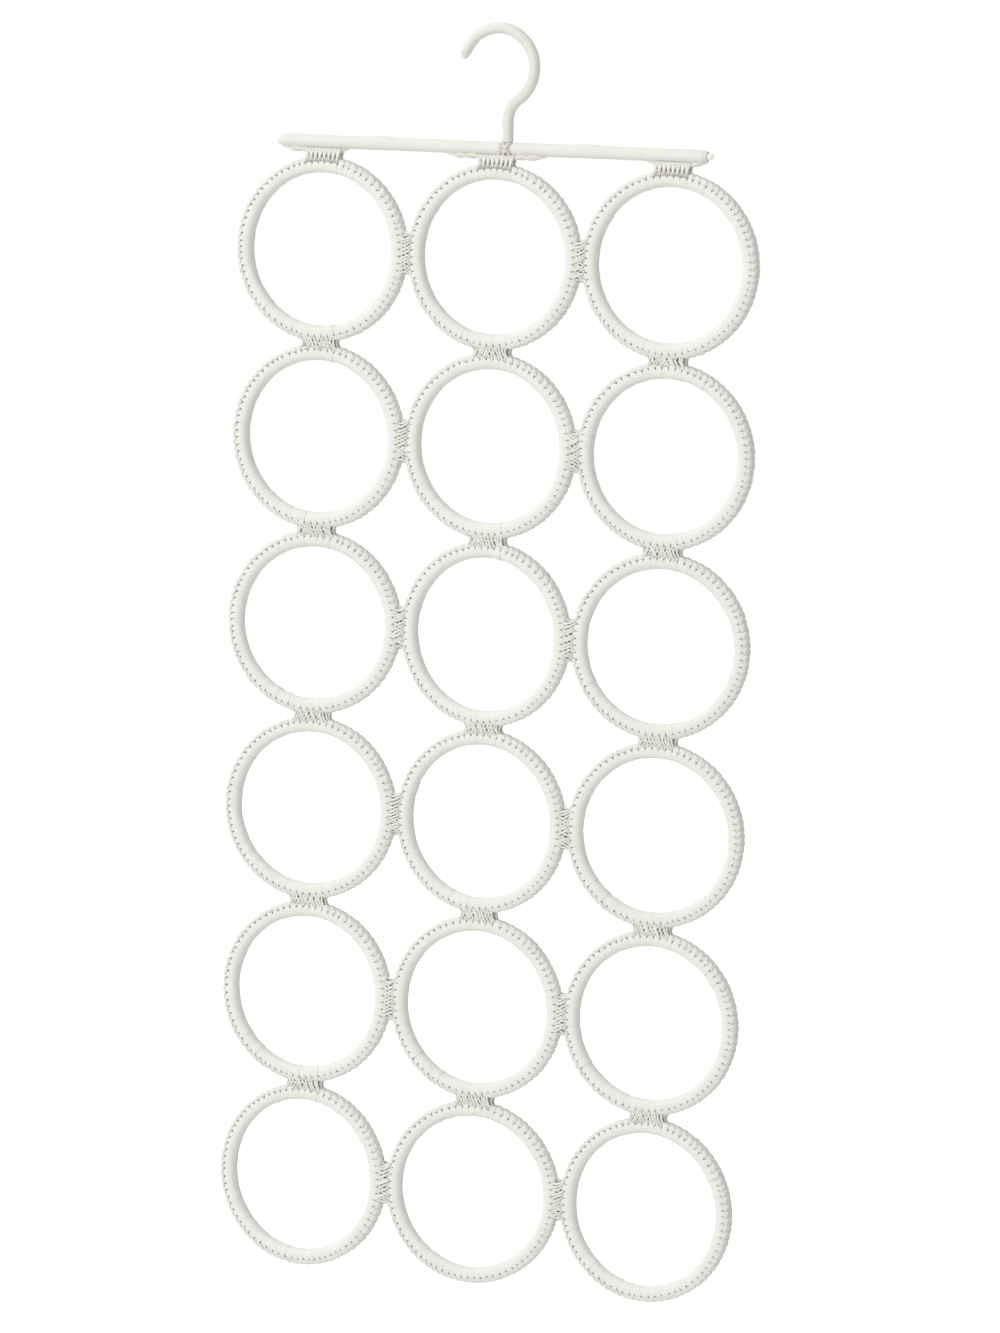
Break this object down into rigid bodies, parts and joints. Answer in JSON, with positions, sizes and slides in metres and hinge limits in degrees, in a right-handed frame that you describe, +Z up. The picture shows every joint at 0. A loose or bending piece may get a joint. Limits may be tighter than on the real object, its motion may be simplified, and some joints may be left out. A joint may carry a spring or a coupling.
{
  "type": "scarf hanger",
  "caption": "Yarn-wrapped hook on a slim bar, with rows of crocheted rings below it that hold scarves drawn through them.",
  "frame": {"origin": "inside top of the hook's bend, where it rests on a rail", "axes": "+X along the bar to the viewer's right, +Y to the back, +Z up"},
  "size_m": [0.3, 0.014, 0.6733],
  "materials": {
    "hook_yarn": "smooth wound yarn",
    "bar_yarn": "smooth wound yarn",
    "ring_yarn": "crocheted yarn",
    "tie_yarn": "twisted yarn strands",
    "cord_yarn": "twisted yarn",
    "hook_steel": "enamelled wire",
    "rod_enamel": "glossy white enamel",
    "ring_plastic": "plain moulded ring"
  },
  "bodies": {
    "frame": {"hook_wire": "hook_steel", "hook_wrap": "hook_yarn", "bar_rod": "rod_enamel", "bar_wrap_left": "bar_yarn", "bar_wrap_right": "bar_yarn", "stem_lashing": "cord_yarn", "anchor_cord_1": "cord_yarn", "anchor_cord_2": "cord_yarn", "anchor_cord_3": "cord_yarn"},
    "tie_1": {"row_ties_1": "tie_yarn"},
    "row_1": {"ring_core_r1c1": "ring_plastic", "ring_core_r1c2": "ring_plastic", "ring_core_r1c3": "ring_plastic", "ring_cover_r1c1": "ring_yarn", "ring_cover_r1c2": "ring_yarn", "ring_cover_r1c3": "ring_yarn", "side_ties_1": "tie_yarn"},
    "tie_2": {"row_ties_2": "tie_yarn"},
    "row_2": {"ring_core_r2c1": "ring_plastic", "ring_core_r2c2": "ring_plastic", "ring_core_r2c3": "ring_plastic", "ring_cover_r2c1": "ring_yarn", "ring_cover_r2c2": "ring_yarn", "ring_cover_r2c3": "ring_yarn", "side_ties_2": "tie_yarn"},
    "tie_3": {"row_ties_3": "tie_yarn"},
    "row_3": {"ring_core_r3c1": "ring_plastic", "ring_core_r3c2": "ring_plastic", "ring_core_r3c3": "ring_plastic", "ring_cover_r3c1": "ring_yarn", "ring_cover_r3c2": "ring_yarn", "ring_cover_r3c3": "ring_yarn", "side_ties_3": "tie_yarn"},
    "tie_4": {"row_ties_4": "tie_yarn"},
    "row_4": {"ring_core_r4c1": "ring_plastic", "ring_core_r4c2": "ring_plastic", "ring_core_r4c3": "ring_plastic", "ring_cover_r4c1": "ring_yarn", "ring_cover_r4c2": "ring_yarn", "ring_cover_r4c3": "ring_yarn", "side_ties_4": "tie_yarn"},
    "tie_5": {"row_ties_5": "tie_yarn"},
    "row_5": {"ring_core_r5c1": "ring_plastic", "ring_core_r5c2": "ring_plastic", "ring_core_r5c3": "ring_plastic", "ring_cover_r5c1": "ring_yarn", "ring_cover_r5c2": "ring_yarn", "ring_cover_r5c3": "ring_yarn", "side_ties_5": "tie_yarn"},
    "tie_6": {"row_ties_6": "tie_yarn"},
    "row_6": {"ring_core_r6c1": "ring_plastic", "ring_core_r6c2": "ring_plastic", "ring_core_r6c3": "ring_plastic", "ring_cover_r6c1": "ring_yarn", "ring_cover_r6c2": "ring_yarn", "ring_cover_r6c3": "ring_yarn", "side_ties_6": "tie_yarn"}
  },
  "joints": [
    {"name": "tie_1_on_frame", "type": "hinge", "parent": "frame", "child": "tie_1", "pos_m": [0, 0, -0.0655], "axis": [1, 0, 0], "range_deg": [-75, 75]},
    {"name": "row_1_in_tie_1", "type": "hinge", "parent": "tie_1", "child": "row_1", "pos_m": [0, 0, -0.0728], "axis": [1, 0, 0], "range_deg": [-85, 85]},
    {"name": "tie_2_on_row_1", "type": "hinge", "parent": "row_1", "child": "tie_2", "pos_m": [0, 0, -0.1622], "axis": [-1, 0, 0], "range_deg": [-85, 85]},
    {"name": "row_2_in_tie_2", "type": "hinge", "parent": "tie_2", "child": "row_2", "pos_m": [0, 0, -0.1728], "axis": [-1, 0, 0], "range_deg": [-85, 85]},
    {"name": "tie_3_on_row_2", "type": "hinge", "parent": "row_2", "child": "tie_3", "pos_m": [0, 0, -0.2622], "axis": [1, 0, 0], "range_deg": [-85, 85]},
    {"name": "row_3_in_tie_3", "type": "hinge", "parent": "tie_3", "child": "row_3", "pos_m": [0, 0, -0.2728], "axis": [1, 0, 0], "range_deg": [-85, 85]},
    {"name": "tie_4_on_row_3", "type": "hinge", "parent": "row_3", "child": "tie_4", "pos_m": [0, 0, -0.3622], "axis": [-1, 0, 0], "range_deg": [-85, 85]},
    {"name": "row_4_in_tie_4", "type": "hinge", "parent": "tie_4", "child": "row_4", "pos_m": [0, 0, -0.3728], "axis": [-1, 0, 0], "range_deg": [-85, 85]},
    {"name": "tie_5_on_row_4", "type": "hinge", "parent": "row_4", "child": "tie_5", "pos_m": [0, 0, -0.4622], "axis": [1, 0, 0], "range_deg": [-85, 85]},
    {"name": "row_5_in_tie_5", "type": "hinge", "parent": "tie_5", "child": "row_5", "pos_m": [0, 0, -0.4728], "axis": [1, 0, 0], "range_deg": [-85, 85]},
    {"name": "tie_6_on_row_5", "type": "hinge", "parent": "row_5", "child": "tie_6", "pos_m": [0, 0, -0.5622], "axis": [-1, 0, 0], "range_deg": [-85, 85]},
    {"name": "row_6_in_tie_6", "type": "hinge", "parent": "tie_6", "child": "row_6", "pos_m": [0, 0, -0.5728], "axis": [-1, 0, 0], "range_deg": [-85, 85]}
  ]
}
